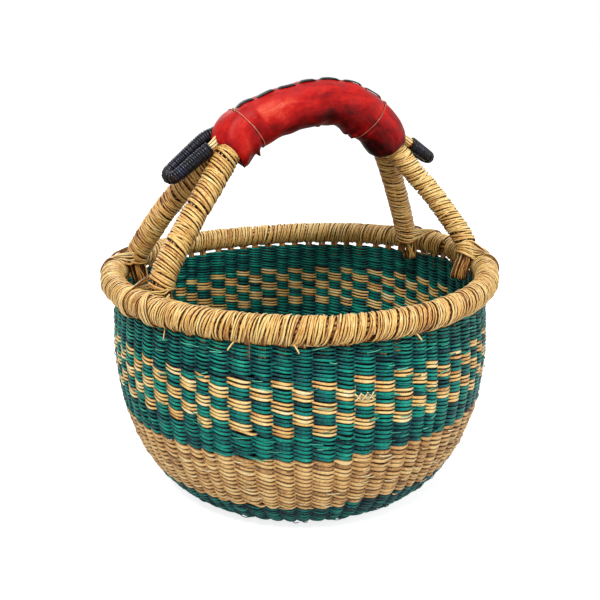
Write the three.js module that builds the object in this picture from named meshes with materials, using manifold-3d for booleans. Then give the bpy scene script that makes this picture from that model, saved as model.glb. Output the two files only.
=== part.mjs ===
// A round bolga basket: a twined straw bowl, a wrapped rim and a leather-covered grip on four splayed legs
// Millimetres, +Z up, origin at the middle of the resting face, +X along the grip.
import * as THREE from "three";
import { mergeVertices } from "three/addons/utils/BufferGeometryUtils.js";
import Module from "manifold-3d";

const { degToRad, lerp } = THREE.MathUtils;
const wasm = await Module();
wasm.setup();

// Bowl
const rimRadius = 180; // centre line of the rim
const rimHeight = 210; // centre line of the rim above the resting face
const restingRadius = 107; // edge of the flat resting face
const bellyBulge = 3.1; // widest part of the wall, outside the rim's centre line
const bellyHeightShare = 0.7516; // of the wall's height
const wallTopInset = 0.4; // top edge of the wall, inside the rim's centre line
const windowHeight = 3.7; // light shows between the wall's top edge and the rim's wrapping
const wallThickness = 7;
const startRadius = 30; // small disc that the weaving starts from
const startThickness = 8.5;
const startCrownShare = 0.6; // flat middle of that disc
const columns = 68; // stakes round the wall, with one column of twining over each
const columnStartShare = -0.25; // of a column, where the middle of the first lies from the line of the grip
const floorColumns = 34; // over the flat base, where the stakes still lie in pairs
const ribDepth = 2.4; // how far a column stands out from the furrow beside it
const rimLift = 2.6; // the rim rises by this at the two ends of the handle and sinks as much between them
const baseCurveShare = 0.5; // how far the flat base runs on before it turns up, over its run to the belly
const bellyCurveShare = 0.6; // how far down the belly stays upright, over its height
const shoulderCurveShare = 0.65; // how much of the drawing in to the rim is done two thirds of the way up

// Top edge of each colour band, in shares of the wall's height
const baseTopShare = 0.1975;
const naturalTopShare = 0.4948;
const lowerTealTopShare = 0.6175;
const checkerTopShare = 0.869;

// Rim
const rimWrapHalfWidth = 11.3;
const rimWrapHalfHeight = 12.6;
const rimWrapDrop = 1.3; // the wrapping hangs a little below the bundle that it covers
const stakeBundleRadius = 7;
const stakeNeckWidth = 6.4;
const stakeNeckDepth = 4.6;

// Handle
const handleHeight = 158.4; // crown of the grip's centre line above the rim
const hoopRadius = 8.6; // bare straw bundle
const legRadius = 10.7; // wrapped leg
const footDepth = 27; // end of a bundle below the rim's centre line
const bareTipLength = 3.5; // bundle that shows below its wrapping

// Grip
const gripHalfWidth = 23.6;
const gripHalfHeight = 21.4;
const leatherThickness = 1.4;
const leatherOverhang = 9; // leather past each end of the padding
const leatherFlare = 0.4; // the mouths of the leather open out by this
const laceWidth = 5;
const laceThickness = 1.2;
const laceStitches = 7;
const laceSpanShares = [0.16, 0.79]; // of the grip's length
const threadPlaceShares = { left: 0.12, right: 0.82 }; // of the grip's length
const threadRadius = 0.6;
const threadPitch = 2.6;
const threadTurns = 1.5;
const threadClearance = 0.6;

// Ears, the two wrapped loops that stick out of the ends of the grip
const earCoreRadius = 3.6;
const earRadius = 5.4;
const earSlit = 1.6; // between the two branches of a loop
const leftEarLength = 65; // from the mouth of the leather to the tip
const rightEarLength = 46;
const leftEarDroop = 38; // degrees below level
const rightEarDroop = 33;
const leftEarRoll = 15; // degrees that the loop leans about its own length, towards the front
const rightEarRoll = 0;
const earRise = 14; // of an ear's bundle above the middle of the grip
const earTailLength = 16; // bundle held inside the padding
const earBareLength = 10; // bundle that shows before the wrapping starts

// Foot lashings
const strandRadius = 1.1;
const strandPitch = 4.3;
const lashingTurns = 3;
const strandClearance = 0.4;

const contactGap = 0.3; // between pieces that touch

// Facets
const columnFacets = 2;
const bundleSides = 8;
const earSides = 6;
const leatherSides = 14;
const rimBundleSides = 6;
const strandSides = 5;
const sheathSteps = 7;
const sheathRoomSteps = 5;
const legSteps = 8;
const gripSteps = 12;
const arcSteps = 5;
const threadSteps = 20;
const startFacets = 24;

// Centre line of the grip: along it in shares of the rim's radius, up it in shares of the handle's height
const gripShares = [
  [-0.385, 0.775],
  [-0.3, 0.852],
  [-0.13, 0.94],
  [0.03, 0.985],
  [0.16, 1],
  [0.3, 0.968],
  [0.43, 0.88],
  [0.54, 0.72],
];
// Legs: the angle of the foot from the line of the grip in degrees, where the leg first heads from the grip
// (along, across and up, in the same shares), and how high it stands upright over its foot
const legs = {
  left_front: { hoop: "front", end: -1, angle: 20, headShares: [-0.555, -0.09, 0.49], kneeShare: 0.17 },
  right_front: { hoop: "front", end: 1, angle: 22, headShares: [0.8, -0.08, 0.4], kneeShare: 0.25 },
  left_rear: { hoop: "rear", end: -1, angle: 25.4, headShares: [-0.605, 0.09, 0.56], kneeShare: 0.21 },
  right_rear: { hoop: "rear", end: 1, angle: 15.5, headShares: [0.63, 0.08, 0.5], kneeShare: 0.06 },
};

const straw = { color: 0xd9b478, roughness: 0.6, metalness: 0 };
const tealStraw = { color: 0x14705f, roughness: 0.55, metalness: 0 };
const checkeredStraw = { color: 0x4d8a6c, roughness: 0.55, metalness: 0 };
const leather = { color: 0xbf1a15, roughness: 0.35, metalness: 0 };
const blackCord = { color: 0x17171f, roughness: 0.4, metalness: 0 };
const blueBlackStraw = { color: 0x1c1d2b, roughness: 0.4, metalness: 0 };
const paleThread = { color: 0xc98d5e, roughness: 0.6, metalness: 0 };
const padding = { color: 0xb9a27c, roughness: 0.9, metalness: 0 };

const wallTopRadius = rimRadius - wallTopInset;
const wallTopHeight = rimHeight - rimWrapDrop - rimWrapHalfHeight - windowHeight;
const bellyRadius = rimRadius + bellyBulge;
const bellyHeight = bellyHeightShare * wallTopHeight;

const model = new THREE.Group();
const yAxis = new THREE.Vector3(0, 1, 0);
const zAxis = new THREE.Vector3(0, 0, 1);

function addPiece(name, geometry, look) {
  const mesh = new THREE.Mesh(geometry, new THREE.MeshStandardMaterial(look));
  mesh.name = name;
  model.add(mesh);
  return mesh;
}

// Closed surface over a row of rings. A looped row has no ends, any other row is capped at both.
// Neighbouring rings have as many corners, or one has a whole number of times as many as the other.
function skin(rings, looped) {
  const corners = rings.flat();
  const starts = rings.map((_, i) => rings.slice(0, i).reduce((sum, ring) => sum + ring.length, 0));
  const faces = [];
  const last = looped ? rings.length : rings.length - 1;
  for (let i = 0; i < last; i++) {
    const next = (i + 1) % rings.length;
    const turned = rings[next].length > rings[i].length;
    const [fine, coarse] = turned ? [next, i] : [i, next];
    const ratio = rings[fine].length / rings[coarse].length;
    const middle = Math.ceil(ratio / 2);
    const onFine = (j) => starts[fine] + (j % rings[fine].length);
    const onCoarse = (j) => starts[coarse] + (j % rings[coarse].length);
    for (let j = 0; j < rings[coarse].length; j++) {
      const strip = [[onCoarse(j), onFine(j * ratio + middle), onCoarse(j + 1)]];
      for (let k = 0; k < ratio; k++) {
        strip.push([onFine(j * ratio + k), onFine(j * ratio + k + 1), onCoarse(k < middle ? j : j + 1)]);
      }
      faces.push(...(turned ? strip.map((face) => face.reverse()) : strip));
    }
  }
  if (!looped) {
    for (let j = 1; j < rings[0].length - 1; j++) faces.push([0, j + 1, j]);
    for (let j = 1; j < rings[last].length - 1; j++) {
      faces.push([starts[last], starts[last] + j, starts[last] + j + 1]);
    }
  }
  const signedVolume = faces.reduce(
    (sum, [a, b, c]) => sum + corners[a].dot(corners[b].clone().cross(corners[c])),
    0,
  );
  const index = faces.flatMap(([a, b, c]) => (signedVolume < 0 ? [a, c, b] : [a, b, c]));
  const geometry = new THREE.BufferGeometry().setFromPoints(corners);
  geometry.setIndex(index);
  geometry.computeVertexNormals();
  return geometry;
}

function solidOf(geometry) {
  const merged = mergeVertices(new THREE.BufferGeometry()
    .setAttribute("position", geometry.getAttribute("position"))
    .setIndex(geometry.index));
  return new wasm.Manifold(new wasm.Mesh({
    numProp: 3,
    vertProperties: merged.getAttribute("position").array,
    triVerts: new Uint32Array(merged.index.array),
  }));
}

function geometryOf(solid) {
  const { numProp, numVert, vertProperties, triVerts } = solid.getMesh();
  const positions = new Float32Array(numVert * 3);
  for (let i = 0; i < numVert; i++) {
    positions.set(vertProperties.subarray(i * numProp, i * numProp + 3), i * 3);
  }
  const geometry = new THREE.BufferGeometry();
  geometry.setAttribute("position", new THREE.BufferAttribute(positions, 3));
  geometry.setIndex(new THREE.BufferAttribute(new Uint32Array(triVerts), 1));
  geometry.computeVertexNormals();
  return geometry;
}

// Outlines as pairs: sideways, upward
function oval(halfWidth, halfHeight, sides) {
  return Array.from({ length: sides }, (_, i) => {
    const angle = (i / sides) * 2 * Math.PI;
    return [halfWidth * Math.cos(angle), halfHeight * Math.sin(angle)];
  });
}

function round(radius, sides = bundleSides) {
  return oval(radius, radius, sides);
}

function ringAt(station, outline) {
  return outline.map(([sideways, upward]) => station.point.clone()
    .addScaledVector(station.side, sideways)
    .addScaledVector(station.up, upward));
}

// Frame across a path at a point, with its side kept as near as it can be to +Y
function stationAt(point, tangent) {
  const side = yAxis.clone().addScaledVector(tangent, -yAxis.dot(tangent)).normalize();
  return { point, tangent, side, up: tangent.clone().cross(side) };
}

function stationOn(curve, share) {
  return stationAt(curve.getPointAt(share), curve.getTangentAt(share));
}

function shiftedStation(station, distance) {
  return { ...station, point: station.point.clone().addScaledVector(station.tangent, distance) };
}

function solidAlong(stations, outline) {
  return skin(stations.map((station) => ringAt(station, outline)), false);
}

// Sleeve between two outlines, open at both ends
function sleeveAlong(stations, outerOutline, innerOutline) {
  const outer = stations.map((station, i) => ringAt(station, outerOutline(i)));
  const inner = stations.map((station, i) => ringAt(station, innerOutline(i)));
  return skin([...outer, ...inner.reverse()], true);
}

// Round tube through points, its frame carried along without twist
function tubeThrough(points, radius, sides = strandSides) {
  const tangents = points.map((_, i) => points[Math.min(i + 1, points.length - 1)].clone()
    .sub(points[Math.max(i - 1, 0)]).normalize());
  const upright = Math.abs(tangents[0].z) > Math.abs(tangents[0].y);
  const side = new THREE.Vector3().crossVectors(tangents[0], upright ? yAxis : zAxis).normalize();
  const turn = new THREE.Quaternion();
  const rings = points.map((point, i) => {
    if (i > 0) side.applyQuaternion(turn.setFromUnitVectors(tangents[i - 1], tangents[i]));
    const up = tangents[i].clone().cross(side);
    return ringAt({ point, side, up }, round(radius, sides));
  });
  return skin(rings, false);
}

// Least gap between turns of one tube, between points along its centre line that are well apart on it
function leastGap(points, radius) {
  const wellApart = 8 * radius;
  const fine = [];
  for (let i = 0; i < points.length - 1; i++) {
    for (const share of [0, 0.25, 0.5, 0.75]) fine.push(points[i].clone().lerp(points[i + 1], share));
  }
  const along = [0];
  for (let i = 1; i < fine.length; i++) along.push(along[i - 1] + fine[i].distanceTo(fine[i - 1]));
  let least = Infinity;
  for (let i = 0; i < fine.length; i++) {
    for (let j = i + 1; j < fine.length; j++) {
      if (along[j] - along[i] > wellApart) least = Math.min(least, fine[i].distanceTo(fine[j]));
    }
  }
  return least - 2 * radius;
}

// Height that the rim's rise and fall adds at a place round the bowl. It dies away towards the base.
function liftAt(angle, height = rimHeight) {
  return rimLift * Math.cos(2 * angle) * Math.min(height / rimHeight, 1) ** 2;
}

// Bowl wall: its outer profile runs flat over the base, turns up to the belly and draws in to the rim
const wallProfile = new THREE.CurvePath();
wallProfile.add(new THREE.LineCurve(
  new THREE.Vector2(startRadius + contactGap, 0),
  new THREE.Vector2(restingRadius, 0),
));
wallProfile.add(new THREE.CubicBezierCurve(
  new THREE.Vector2(restingRadius, 0),
  new THREE.Vector2(restingRadius + baseCurveShare * (bellyRadius - restingRadius), 0),
  new THREE.Vector2(bellyRadius, bellyHeight * (1 - bellyCurveShare)),
  new THREE.Vector2(bellyRadius, bellyHeight),
));
wallProfile.add(new THREE.CubicBezierCurve(
  new THREE.Vector2(bellyRadius, bellyHeight),
  new THREE.Vector2(bellyRadius, bellyHeight + (wallTopHeight - bellyHeight) / 3),
  new THREE.Vector2(
    lerp(bellyRadius, wallTopRadius, shoulderCurveShare),
    bellyHeight + ((wallTopHeight - bellyHeight) * 2) / 3,
  ),
  new THREE.Vector2(wallTopRadius, wallTopHeight),
));

function profileShareAtHeight(height) {
  let low = 0;
  let high = 1;
  while (high - low > 1e-7) {
    const middle = (low + high) / 2;
    if (wallProfile.getPointAt(middle).y < height) low = middle;
    else high = middle;
  }
  return high;
}

function wallPoint(share, depth) {
  const point = wallProfile.getPointAt(share);
  const tangent = wallProfile.getTangentAt(share);
  return new THREE.Vector2(point.x - tangent.y * depth, point.y + tangent.x * depth);
}

const firstColumnAngle = (columnStartShare / columns) * 2 * Math.PI;

// One ring of corners round the bowl at a depth in the wall, with furrows between ribs where it has any.
// A furrow goes in from the face that it lies in, so inwards is 1 on the outer face and -1 on the inner one.
function wallRing(share, depth, ribs, inwards) {
  const facets = Math.max(ribs * columnFacets, columns);
  return Array.from({ length: facets }, (_, i) => {
    const angle = firstColumnAngle + (i / facets) * 2 * Math.PI;
    const furrow = ribs > 0 && i % columnFacets > 0 ? inwards * ribDepth : 0;
    const { x, y } = wallPoint(share, depth + furrow);
    return new THREE.Vector3(x * Math.cos(angle), x * Math.sin(angle), y + liftAt(angle, y));
  });
}

const profileLength = wallProfile.getLength();
const restingShare = (restingRadius - startRadius - contactGap) / profileLength;
const bandTopShares = [baseTopShare, naturalTopShare, lowerTealTopShare, checkerTopShare, 1];
const bandEdges = [0, ...bandTopShares.map((share) => profileShareAtHeight(share * wallTopHeight))];
const bands = [
  { name: "base_weave", look: tealStraw, outerSteps: 3, innerSteps: 2, innerRibs: columns },
  { name: "natural_band", look: straw, outerSteps: 2, innerSteps: 2, innerRibs: columns },
  { name: "lower_teal_band", look: tealStraw, outerSteps: 1, innerSteps: 1, innerRibs: 0 },
  { name: "checker_band", look: checkeredStraw, outerSteps: 1, innerSteps: 1, innerRibs: 0 },
  { name: "upper_teal_band", look: tealStraw, outerSteps: 1, innerSteps: 1, innerRibs: 0 },
];
bands.forEach(({ name, look, outerSteps, innerSteps, innerRibs }, i) => {
  const low = bandEdges[i];
  const high = bandEdges[i + 1] - (i < bands.length - 1 ? contactGap / profileLength : 0);
  const flatCuts = low < restingShare ? [low] : [];
  const cuts = (steps) => [...flatCuts, ...Array.from(
    { length: steps + 1 },
    (_, j) => lerp(Math.max(low, restingShare), high, j / steps),
  )];
  const onFloor = (share) => share <= restingShare;
  const outer = cuts(outerSteps).map((share) => wallRing(share, 0, onFloor(share) ? 0 : columns, 1));
  const inner = cuts(innerSteps).map((share) => (
    wallRing(share, wallThickness, onFloor(share) ? floorColumns : innerRibs, -1)
  ));
  addPiece(name, skin([...outer, ...inner.reverse()], true), look);
});

// Start of the weave: the small disc where the stakes cross, a little proud of the floor inside
const startProfile = [
  new THREE.Vector2(0, 0),
  new THREE.Vector2(startRadius, 0),
  new THREE.Vector2(startRadius, wallThickness),
  new THREE.Vector2(startRadius * startCrownShare, startThickness),
  new THREE.Vector2(0, startThickness),
];
const startDisc = new THREE.LatheGeometry(startProfile, startFacets);
startDisc.rotateX(Math.PI / 2);
addPiece("base_start", startDisc, tealStraw);

// Feet: where each leg meets the inside of the rim
const footRingRadius = rimRadius - rimWrapHalfWidth - contactGap - legRadius;

function footAngleOf(leg) {
  const spread = degToRad(leg.angle) * (leg.hoop === "front" ? -1 : 1);
  return leg.end > 0 ? spread : Math.PI - spread;
}

const legList = Object.entries(legs).map(([name, leg]) => ({
  name,
  ...leg,
  footAngle: footAngleOf(leg),
}));

// Rim: the stakes bend over into one bundle, and their necks stand on the wall with small windows between.
// There is no neck where a leg is lashed on.
const lashingReach = legRadius + strandClearance + 2 * strandRadius + lashingTurns * strandPitch;
const rimFacets = Array.from({ length: columns }, (_, i) => (
  firstColumnAngle + (i / columns) * 2 * Math.PI
));

function rimRings(outline) {
  return rimFacets.map((angle) => outline.map(([outward, upward]) => {
    const radius = rimRadius + outward;
    const height = rimHeight + upward + liftAt(angle);
    return new THREE.Vector3(radius * Math.cos(angle), radius * Math.sin(angle), height);
  }));
}

let rimStakes = solidOf(skin(rimRings(round(stakeBundleRadius, rimBundleSides)), true));
const neckRadius = wallTopRadius - wallThickness / 2;
for (const angle of rimFacets) {
  const nearFoot = legList.some((leg) => {
    const apart = Math.abs(Math.atan2(Math.sin(angle - leg.footAngle), Math.cos(angle - leg.footAngle)));
    return apart * rimRadius < lashingReach + stakeNeckWidth / 2;
  });
  if (nearFoot) continue;
  const neckTop = rimHeight - stakeBundleRadius / 2 + liftAt(angle);
  const neckBottom = wallTopHeight + contactGap + liftAt(angle, wallTopHeight);
  const neck = new THREE.BoxGeometry(stakeNeckDepth, stakeNeckWidth, neckTop - neckBottom);
  neck.translate(neckRadius, 0, (neckTop + neckBottom) / 2);
  neck.rotateZ(angle);
  rimStakes = rimStakes.add(solidOf(neck));
}
addPiece("rim_stakes", geometryOf(rimStakes), straw);

// The wrapping lies round the bundle like a sheath, with a slot below that the necks stand in
const slotInside = neckRadius - stakeNeckDepth / 2 - 2 * contactGap - rimRadius;
const slotOutside = neckRadius + stakeNeckDepth / 2 + 2 * contactGap - rimRadius;

// Outline of the sheath from the outer lip of its slot, over the top and down to the inner lip
function sheathOutline(halfWidth, halfHeight, drop, steps) {
  const start = -Math.acos(slotOutside / halfWidth);
  const end = Math.PI + Math.acos(-slotInside / halfWidth);
  return Array.from({ length: steps + 1 }, (_, i) => {
    const angle = lerp(start, end, i / steps);
    return [halfWidth * Math.cos(angle), halfHeight * Math.sin(angle) - drop];
  });
}

const bundleRoom = (stakeBundleRadius + contactGap) / Math.cos(Math.PI / sheathRoomSteps);
const sheathSection = [
  ...sheathOutline(rimWrapHalfWidth, rimWrapHalfHeight, rimWrapDrop, sheathSteps),
  ...sheathOutline(bundleRoom, bundleRoom, 0, sheathRoomSteps).reverse(),
];
addPiece("rim_wrap", skin(rimRings(sheathSection), true), straw);

// Grip: one curve carries its padding, leather, lace and threads, and the middle of both hoops
const gripCurve = new THREE.CatmullRomCurve3(
  gripShares.map(([along, up]) => new THREE.Vector3(along * rimRadius, 0, rimHeight + up * handleHeight)),
);
const gripLength = gripCurve.getLength();
const paddingStart = leatherOverhang / gripLength;
const gripCuts = [0, ...Array.from(
  { length: gripSteps + 1 },
  (_, i) => lerp(paddingStart, 1 - paddingStart, i / gripSteps),
), 1];
const gripStations = gripCuts.map((share) => stationOn(gripCurve, share));
const paddedStations = gripStations.slice(1, -1);
const hoopOffset = legRadius + contactGap / 2;

function footPoint(leg, height) {
  return new THREE.Vector3(
    footRingRadius * Math.cos(leg.footAngle),
    footRingRadius * Math.sin(leg.footAngle),
    rimHeight + liftAt(leg.footAngle) + height,
  );
}

// Leg from the grip's end down to the inside of the rim
function legCurve(leg) {
  const sideways = leg.hoop === "front" ? -hoopOffset : hoopOffset;
  const mouth = gripStations[leg.end < 0 ? 0 : gripStations.length - 1];
  const top = mouth.point.clone().addScaledVector(yAxis, sideways);
  const [along, across, up] = leg.headShares;
  return new THREE.CubicBezierCurve3(
    top,
    new THREE.Vector3(along * rimRadius, across * rimRadius, rimHeight + up * handleHeight),
    footPoint(leg, leg.kneeShare * handleHeight),
    footPoint(leg, -footDepth),
  );
}

for (const leg of legList) {
  leg.curve = legCurve(leg);
  leg.length = leg.curve.getLength();
  leg.wrapEnd = 1 - bareTipLength / leg.length;
}

// Stations down a leg, from just outside the grip to its tip
function legStations(leg) {
  const stations = [];
  for (let i = 1; i <= legSteps; i++) {
    stations.push(stationOn(leg.curve, (i / legSteps) * leg.wrapEnd));
  }
  return stations;
}

// Hoops: a bundle of straw runs from foot to foot through the grip, and is wrapped outside the padding
for (const hoop of ["front", "rear"]) {
  const offset = hoop === "front" ? -hoopOffset : hoopOffset;
  const inGrip = gripStations.map((station) => ({
    ...station,
    point: station.point.clone().addScaledVector(yAxis, offset),
  }));
  const [left, right] = legList.filter((leg) => leg.hoop === hoop).sort((a, b) => a.end - b.end);
  const leftStations = [...legStations(left), stationOn(left.curve, 1)];
  const rightStations = [...legStations(right), stationOn(right.curve, 1)];
  const turned = leftStations.map((station) => ({
    ...station,
    tangent: station.tangent.clone().negate(),
    up: station.up.clone().negate(),
  }));
  const path = [...turned.reverse(), ...inGrip, ...rightStations];
  addPiece("hoop_core_" + hoop, solidAlong(path, round(hoopRadius)), straw);

  const first = leftStations.length;
  const last = first + inGrip.length - 1;
  const leftCovered = [...path.slice(1, first + 1), shiftedStation(path[first + 1], -contactGap)];
  const rightCovered = [shiftedStation(path[last - 1], contactGap), ...path.slice(last, path.length - 1)];
  for (const [leg, covered] of [[left, leftCovered], [right, rightCovered]]) {
    const wrap = sleeveAlong(covered, () => round(legRadius), () => round(hoopRadius + contactGap));
    addPiece("leg_wrap_" + leg.name, wrap, straw);
  }
}

// Ears: a bundle bent into a narrow loop, its two tails held in the padding above the hoops
const earOffset = earRadius + earSlit / 2;

function earPoints(end, length, heading, across) {
  const onGrip = (fromEnd) => stationOn(gripCurve, end < 0 ? fromEnd : 1 - fromEnd);
  const risen = ({ point, up }) => point.clone().addScaledVector(up, Math.sign(up.z) * earRise);
  const inside = risen(onGrip(paddingStart + earTailLength / gripLength));
  const paddingEnd = risen(onGrip(paddingStart));
  const root = risen(onGrip(0));
  const wrapStart = root.clone().addScaledVector(heading, earBareLength);
  const bend = root.clone().addScaledVector(heading, length - earOffset - earRadius);
  const branch = (side) => [
    ...[inside, paddingEnd, root].map((point) => point.clone().addScaledVector(yAxis, side * earOffset)),
    ...[wrapStart, bend].map((point) => point.clone().addScaledVector(across, side * earOffset)),
  ];
  const tip = [0.25, 0.5, 0.75].map((share) => bend.clone()
    .addScaledVector(heading, earOffset * Math.sin(share * Math.PI))
    .addScaledVector(across, -earOffset * Math.cos(share * Math.PI)));
  return [...branch(-1), ...tip, ...branch(1).reverse()];
}

// Frames across a loop that bends in one plane: one axis square to that plane, one in it
function loopStations(points, normal) {
  return points.map((point, i) => {
    const next = points[Math.min(i + 1, points.length - 1)];
    const tangent = next.clone().sub(points[Math.max(i - 1, 0)]).normalize();
    const up = normal.clone().addScaledVector(tangent, -normal.dot(tangent)).normalize();
    return { point, tangent, side: up.clone().cross(tangent), up };
  });
}

const earCutters = [];
for (const [name, end, length, droopDegrees, rollDegrees] of [
  ["left", -1, leftEarLength, leftEarDroop, leftEarRoll],
  ["right", 1, rightEarLength, rightEarDroop, rightEarRoll],
]) {
  const droop = degToRad(droopDegrees);
  const roll = degToRad(rollDegrees);
  const heading = new THREE.Vector3(end * Math.cos(droop), 0, -Math.sin(droop));
  const upright = new THREE.Vector3(end * Math.sin(droop), 0, Math.cos(droop));
  const across = yAxis.clone().multiplyScalar(Math.cos(roll)).addScaledVector(upright, Math.sin(roll));
  const normal = upright.clone().multiplyScalar(Math.cos(roll)).addScaledVector(yAxis, -Math.sin(roll));
  const stations = loopStations(earPoints(end, length, heading, across), normal);
  const core = round(earCoreRadius, earSides);
  const room = round(earCoreRadius + contactGap, earSides);
  addPiece("ear_core_" + name, solidAlong(stations, core), straw);
  const bareStations = 3; // of each tail, up to where its wrapping starts
  const covered = stations.slice(bareStations, -bareStations);
  const wrap = sleeveAlong(covered, () => round(earRadius, earSides), () => room);
  addPiece("ear_wrap_" + name, wrap, blueBlackStraw);
  const bore = [shiftedStation(stations[0], -contactGap), ...stations.slice(1, -1),
    shiftedStation(stations[stations.length - 1], contactGap)];
  earCutters.push(solidOf(solidAlong(bore, room)));
}

// Lace: a flat thong in running stitch along the top of the grip, out over the leather and under it by turns
const laceOut = gripHalfHeight + contactGap + laceThickness / 2;
const laceIn = gripHalfHeight - leatherThickness - contactGap - laceThickness / 2;
const laceHeightShares = [0, 0.9, 1, 1, 1, 0.9]; // through one stitch, from under the leather to over it

function laceStations(extraLength) {
  const count = laceStitches * laceHeightShares.length;
  const stations = Array.from({ length: count + 1 }, (_, i) => {
    const station = stationOn(gripCurve, lerp(...laceSpanShares, i / count));
    const height = lerp(laceIn, laceOut, laceHeightShares[i % laceHeightShares.length]);
    return { ...station, point: station.point.clone().addScaledVector(station.up, height) };
  });
  return [
    shiftedStation(stations[0], -extraLength),
    ...stations.slice(1, -1),
    shiftedStation(stations[count], extraLength),
  ];
}

function laceOutline(margin) {
  const halfWidth = laceWidth / 2 + margin;
  const halfThickness = laceThickness / 2 + margin;
  return [
    [halfWidth, halfThickness],
    [-halfWidth, halfThickness],
    [-halfWidth, -halfThickness],
    [halfWidth, -halfThickness],
  ];
}

addPiece("grip_lacing", solidAlong(laceStations(0), laceOutline(0)), blackCord);
const laceCutter = solidOf(solidAlong(laceStations(contactGap), laceOutline(contactGap)));

// Padding fills the grip round both hoops and the ears' tails
const paddingWidth = gripHalfWidth - leatherThickness - contactGap;
const paddingHeight = gripHalfHeight - leatherThickness - contactGap;
let paddingSolid = solidOf(solidAlong(paddedStations, oval(paddingWidth, paddingHeight, leatherSides)));
for (const offset of [-hoopOffset, hoopOffset]) {
  const bore = gripStations.map((station) => ({
    ...station,
    point: station.point.clone().addScaledVector(yAxis, offset),
  }));
  paddingSolid = paddingSolid.subtract(solidOf(solidAlong(bore, round(hoopRadius + contactGap))));
}
for (const cutter of [...earCutters, laceCutter]) paddingSolid = paddingSolid.subtract(cutter);
addPiece("grip_padding", geometryOf(paddingSolid), padding);

// Leather: a sleeve that opens out at both mouths, slit where the lace passes through
const lastGrip = gripStations.length - 1;
const leatherOutline = (i, inset) => {
  const grown = (i === 0 || i === lastGrip ? leatherFlare : 0) - inset;
  return oval(gripHalfWidth + grown, gripHalfHeight + grown, leatherSides);
};
const sleeve = sleeveAlong(
  gripStations,
  (i) => leatherOutline(i, 0),
  (i) => leatherOutline(i, leatherThickness),
);
addPiece("grip_leather", geometryOf(solidOf(sleeve).subtract(laceCutter)), leather);

// Thread tied round each end of the leather, from below and up behind, so that it passes the front once
for (const [name, placeShare] of Object.entries(threadPlaceShares)) {
  const steps = Math.round(threadTurns * threadSteps);
  const reach = threadClearance + threadRadius;
  const points = Array.from({ length: steps + 1 }, (_, i) => {
    const turn = i / threadSteps;
    const alongGrip = (turn - threadTurns / 2) * threadPitch;
    const station = stationOn(gripCurve, placeShare + alongGrip / gripLength);
    const angle = -Math.PI / 2 + turn * 2 * Math.PI;
    return station.point.clone()
      .addScaledVector(station.side, (gripHalfWidth + reach) * Math.cos(angle))
      .addScaledVector(station.up, (gripHalfHeight + reach) * Math.sin(angle));
  });
  console.log("tie_thread_" + name + " least gap", leastGap(points, threadRadius).toFixed(2));
  addPiece("tie_thread_" + name, tubeThrough(points, threadRadius), paleThread);
}

// Lashings: each turn goes over the rim beside the leg, under it through the windows and across the leg
// inside, then the same on the other side. The turns spread along the rim and up the leg.
const arcSpread = 1 / Math.cos(Math.PI / arcSteps / 2); // corners stand off so that the flats clear
const acrossWidth = (rimWrapHalfWidth + strandClearance + strandRadius) * arcSpread;
const acrossHeight = (rimWrapHalfHeight + strandClearance + strandRadius) * arcSpread;
const aroundLeg = (legRadius + strandClearance + strandRadius) * arcSpread;

function lashing(leg) {
  const outward = new THREE.Vector3(Math.cos(leg.footAngle), Math.sin(leg.footAngle), 0);
  const along = zAxis.clone().cross(outward);
  const rimZ = rimHeight + liftAt(leg.footAngle) - rimWrapDrop;
  const at = (tangential, radial, z) => outward.clone().multiplyScalar(radial)
    .addScaledVector(along, tangential).setZ(z);
  const rimAt = (tangential) => Math.sqrt(rimRadius ** 2 - tangential ** 2);
  const shareAtHeight = (z) => {
    let low = 0;
    let high = 1;
    while (high - low > 1e-6) {
      const middle = (low + high) / 2;
      if (leg.curve.getPointAt(middle).z > z) low = middle;
      else high = middle;
    }
    return high;
  };
  const topShare = shareAtHeight(rimZ + acrossHeight + strandClearance);
  const bottomShare = shareAtHeight(rimZ - acrossHeight - strandClearance);
  const points = [];
  // Over the outside of the rim, from one level to the other
  const overRim = (side, turn, fromTop) => {
    for (let i = 0; i <= arcSteps; i++) {
      const angle = (fromTop ? 0.5 - i / arcSteps : i / arcSteps - 0.5) * Math.PI;
      const tangential = side * (aroundLeg + (turn + (i / arcSteps) / 4) * strandPitch);
      points.push(at(
        tangential,
        rimAt(tangential) + acrossWidth * Math.cos(angle),
        rimZ + acrossHeight * Math.sin(angle),
      ));
    }
  };
  // Across the inner face of the leg, square to it
  const acrossLeg = (side, turn, below) => {
    const step = strandPitch / leg.length;
    const share = below ? bottomShare + turn * step : topShare - turn * step;
    const { point, tangent } = stationOn(leg.curve, share);
    const sideways = along.clone().addScaledVector(tangent, -along.dot(tangent)).normalize();
    let inward = tangent.clone().cross(sideways);
    if (inward.dot(outward) > 0) inward = inward.negate();
    for (let i = 0; i <= arcSteps; i++) {
      const angle = (i / arcSteps) * Math.PI;
      points.push(point.clone()
        .addScaledVector(sideways, side * aroundLeg * Math.cos(angle))
        .addScaledVector(inward, aroundLeg * Math.sin(angle)));
    }
  };
  const underRim = (side, turn) => {
    const tangential = side * (aroundLeg + turn * strandPitch);
    points.push(at(tangential, wallTopRadius - wallThickness - 3 * strandRadius, rimZ - acrossHeight));
  };
  for (let turn = 0; turn < lashingTurns; turn++) {
    overRim(1, turn, true);
    underRim(1, turn + 0.25);
    acrossLeg(1, turn + 0.25, true);
    underRim(-1, turn + 0.5);
    overRim(-1, turn + 0.5, false);
    acrossLeg(-1, turn + 0.75, false);
  }
  return points;
}

for (const leg of legList) {
  const points = lashing(leg);
  console.log("foot_lashing_" + leg.name + " least gap", leastGap(points, strandRadius).toFixed(2));
  addPiece("foot_lashing_" + leg.name, tubeThrough(points, strandRadius), straw);
}

export default model;
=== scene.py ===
import bpy
import numpy as np
from mathutils import Matrix


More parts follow.
